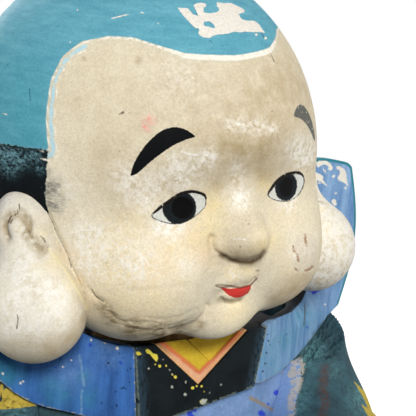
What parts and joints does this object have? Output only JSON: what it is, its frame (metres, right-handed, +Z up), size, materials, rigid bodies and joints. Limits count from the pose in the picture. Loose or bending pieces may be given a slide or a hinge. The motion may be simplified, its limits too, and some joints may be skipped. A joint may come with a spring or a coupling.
{
  "type": "nodding papier-mache figure",
  "caption": "Kneeling papier-mache good-luck figure with a big weighted head that nods on a pin, long ear lobes, stiff winged shoulder boards, layered collars and pleated trousers.",
  "frame": {"origin": "middle of the base board's underside, on the table and between the two sleeves", "axes": "+Z up, -Y the way the face looks, +X the figure's left hand"},
  "size_m": [0.4108, 0.2678, 0.3707],
  "materials": {
    "skin": "worn cream shell-white paint over papier-mache",
    "cap": "worn blue-green paint over papier-mache",
    "hair": "black ink",
    "wood": "bare softwood",
    "iron": "rough casting",
    "steel": "plain wire",
    "board": "worn blue paint over pasteboard",
    "robe": "worn blue paint over papier-mache",
    "hakama": "worn blue paint over papier-mache",
    "base": "raw pasteboard",
    "black_collar": "black ink with chips",
    "orange_collar": "matt orange paint",
    "yellow_collar": "matt yellow paint",
    "sleeve": "worn dark teal paint over papier-mache"
  },
  "bodies": {
    "body": {"pivot_pin": "steel", "left_post": "wood", "right_post": "wood", "left_shoulder_board": "board", "right_shoulder_board": "board", "back_board": "board", "chest_shell": "robe", "back_shell": "robe", "hakama_front": "hakama", "hakama_back": "hakama", "base_board": "base", "left_outer_collar": "black_collar", "right_outer_collar": "black_collar", "middle_collar": "orange_collar", "under_collar": "yellow_collar", "left_sleeve": "sleeve", "right_sleeve": "sleeve", "left_hand": "skin", "right_hand": "skin"},
    "head": {"face_shell": "skin", "crown_shell": "cap", "left_ear": "skin", "right_ear": "skin", "topknot": "hair", "neck_plug": "wood", "neck_stem": "wood", "counterweight": "iron"}
  },
  "joints": [
    {"name": "head_nod", "type": "hinge", "parent": "body", "child": "head", "pos_m": [0, -0.0117, 0.142], "axis": [1, 0, 0], "range_deg": [-6, 3]}
  ]
}
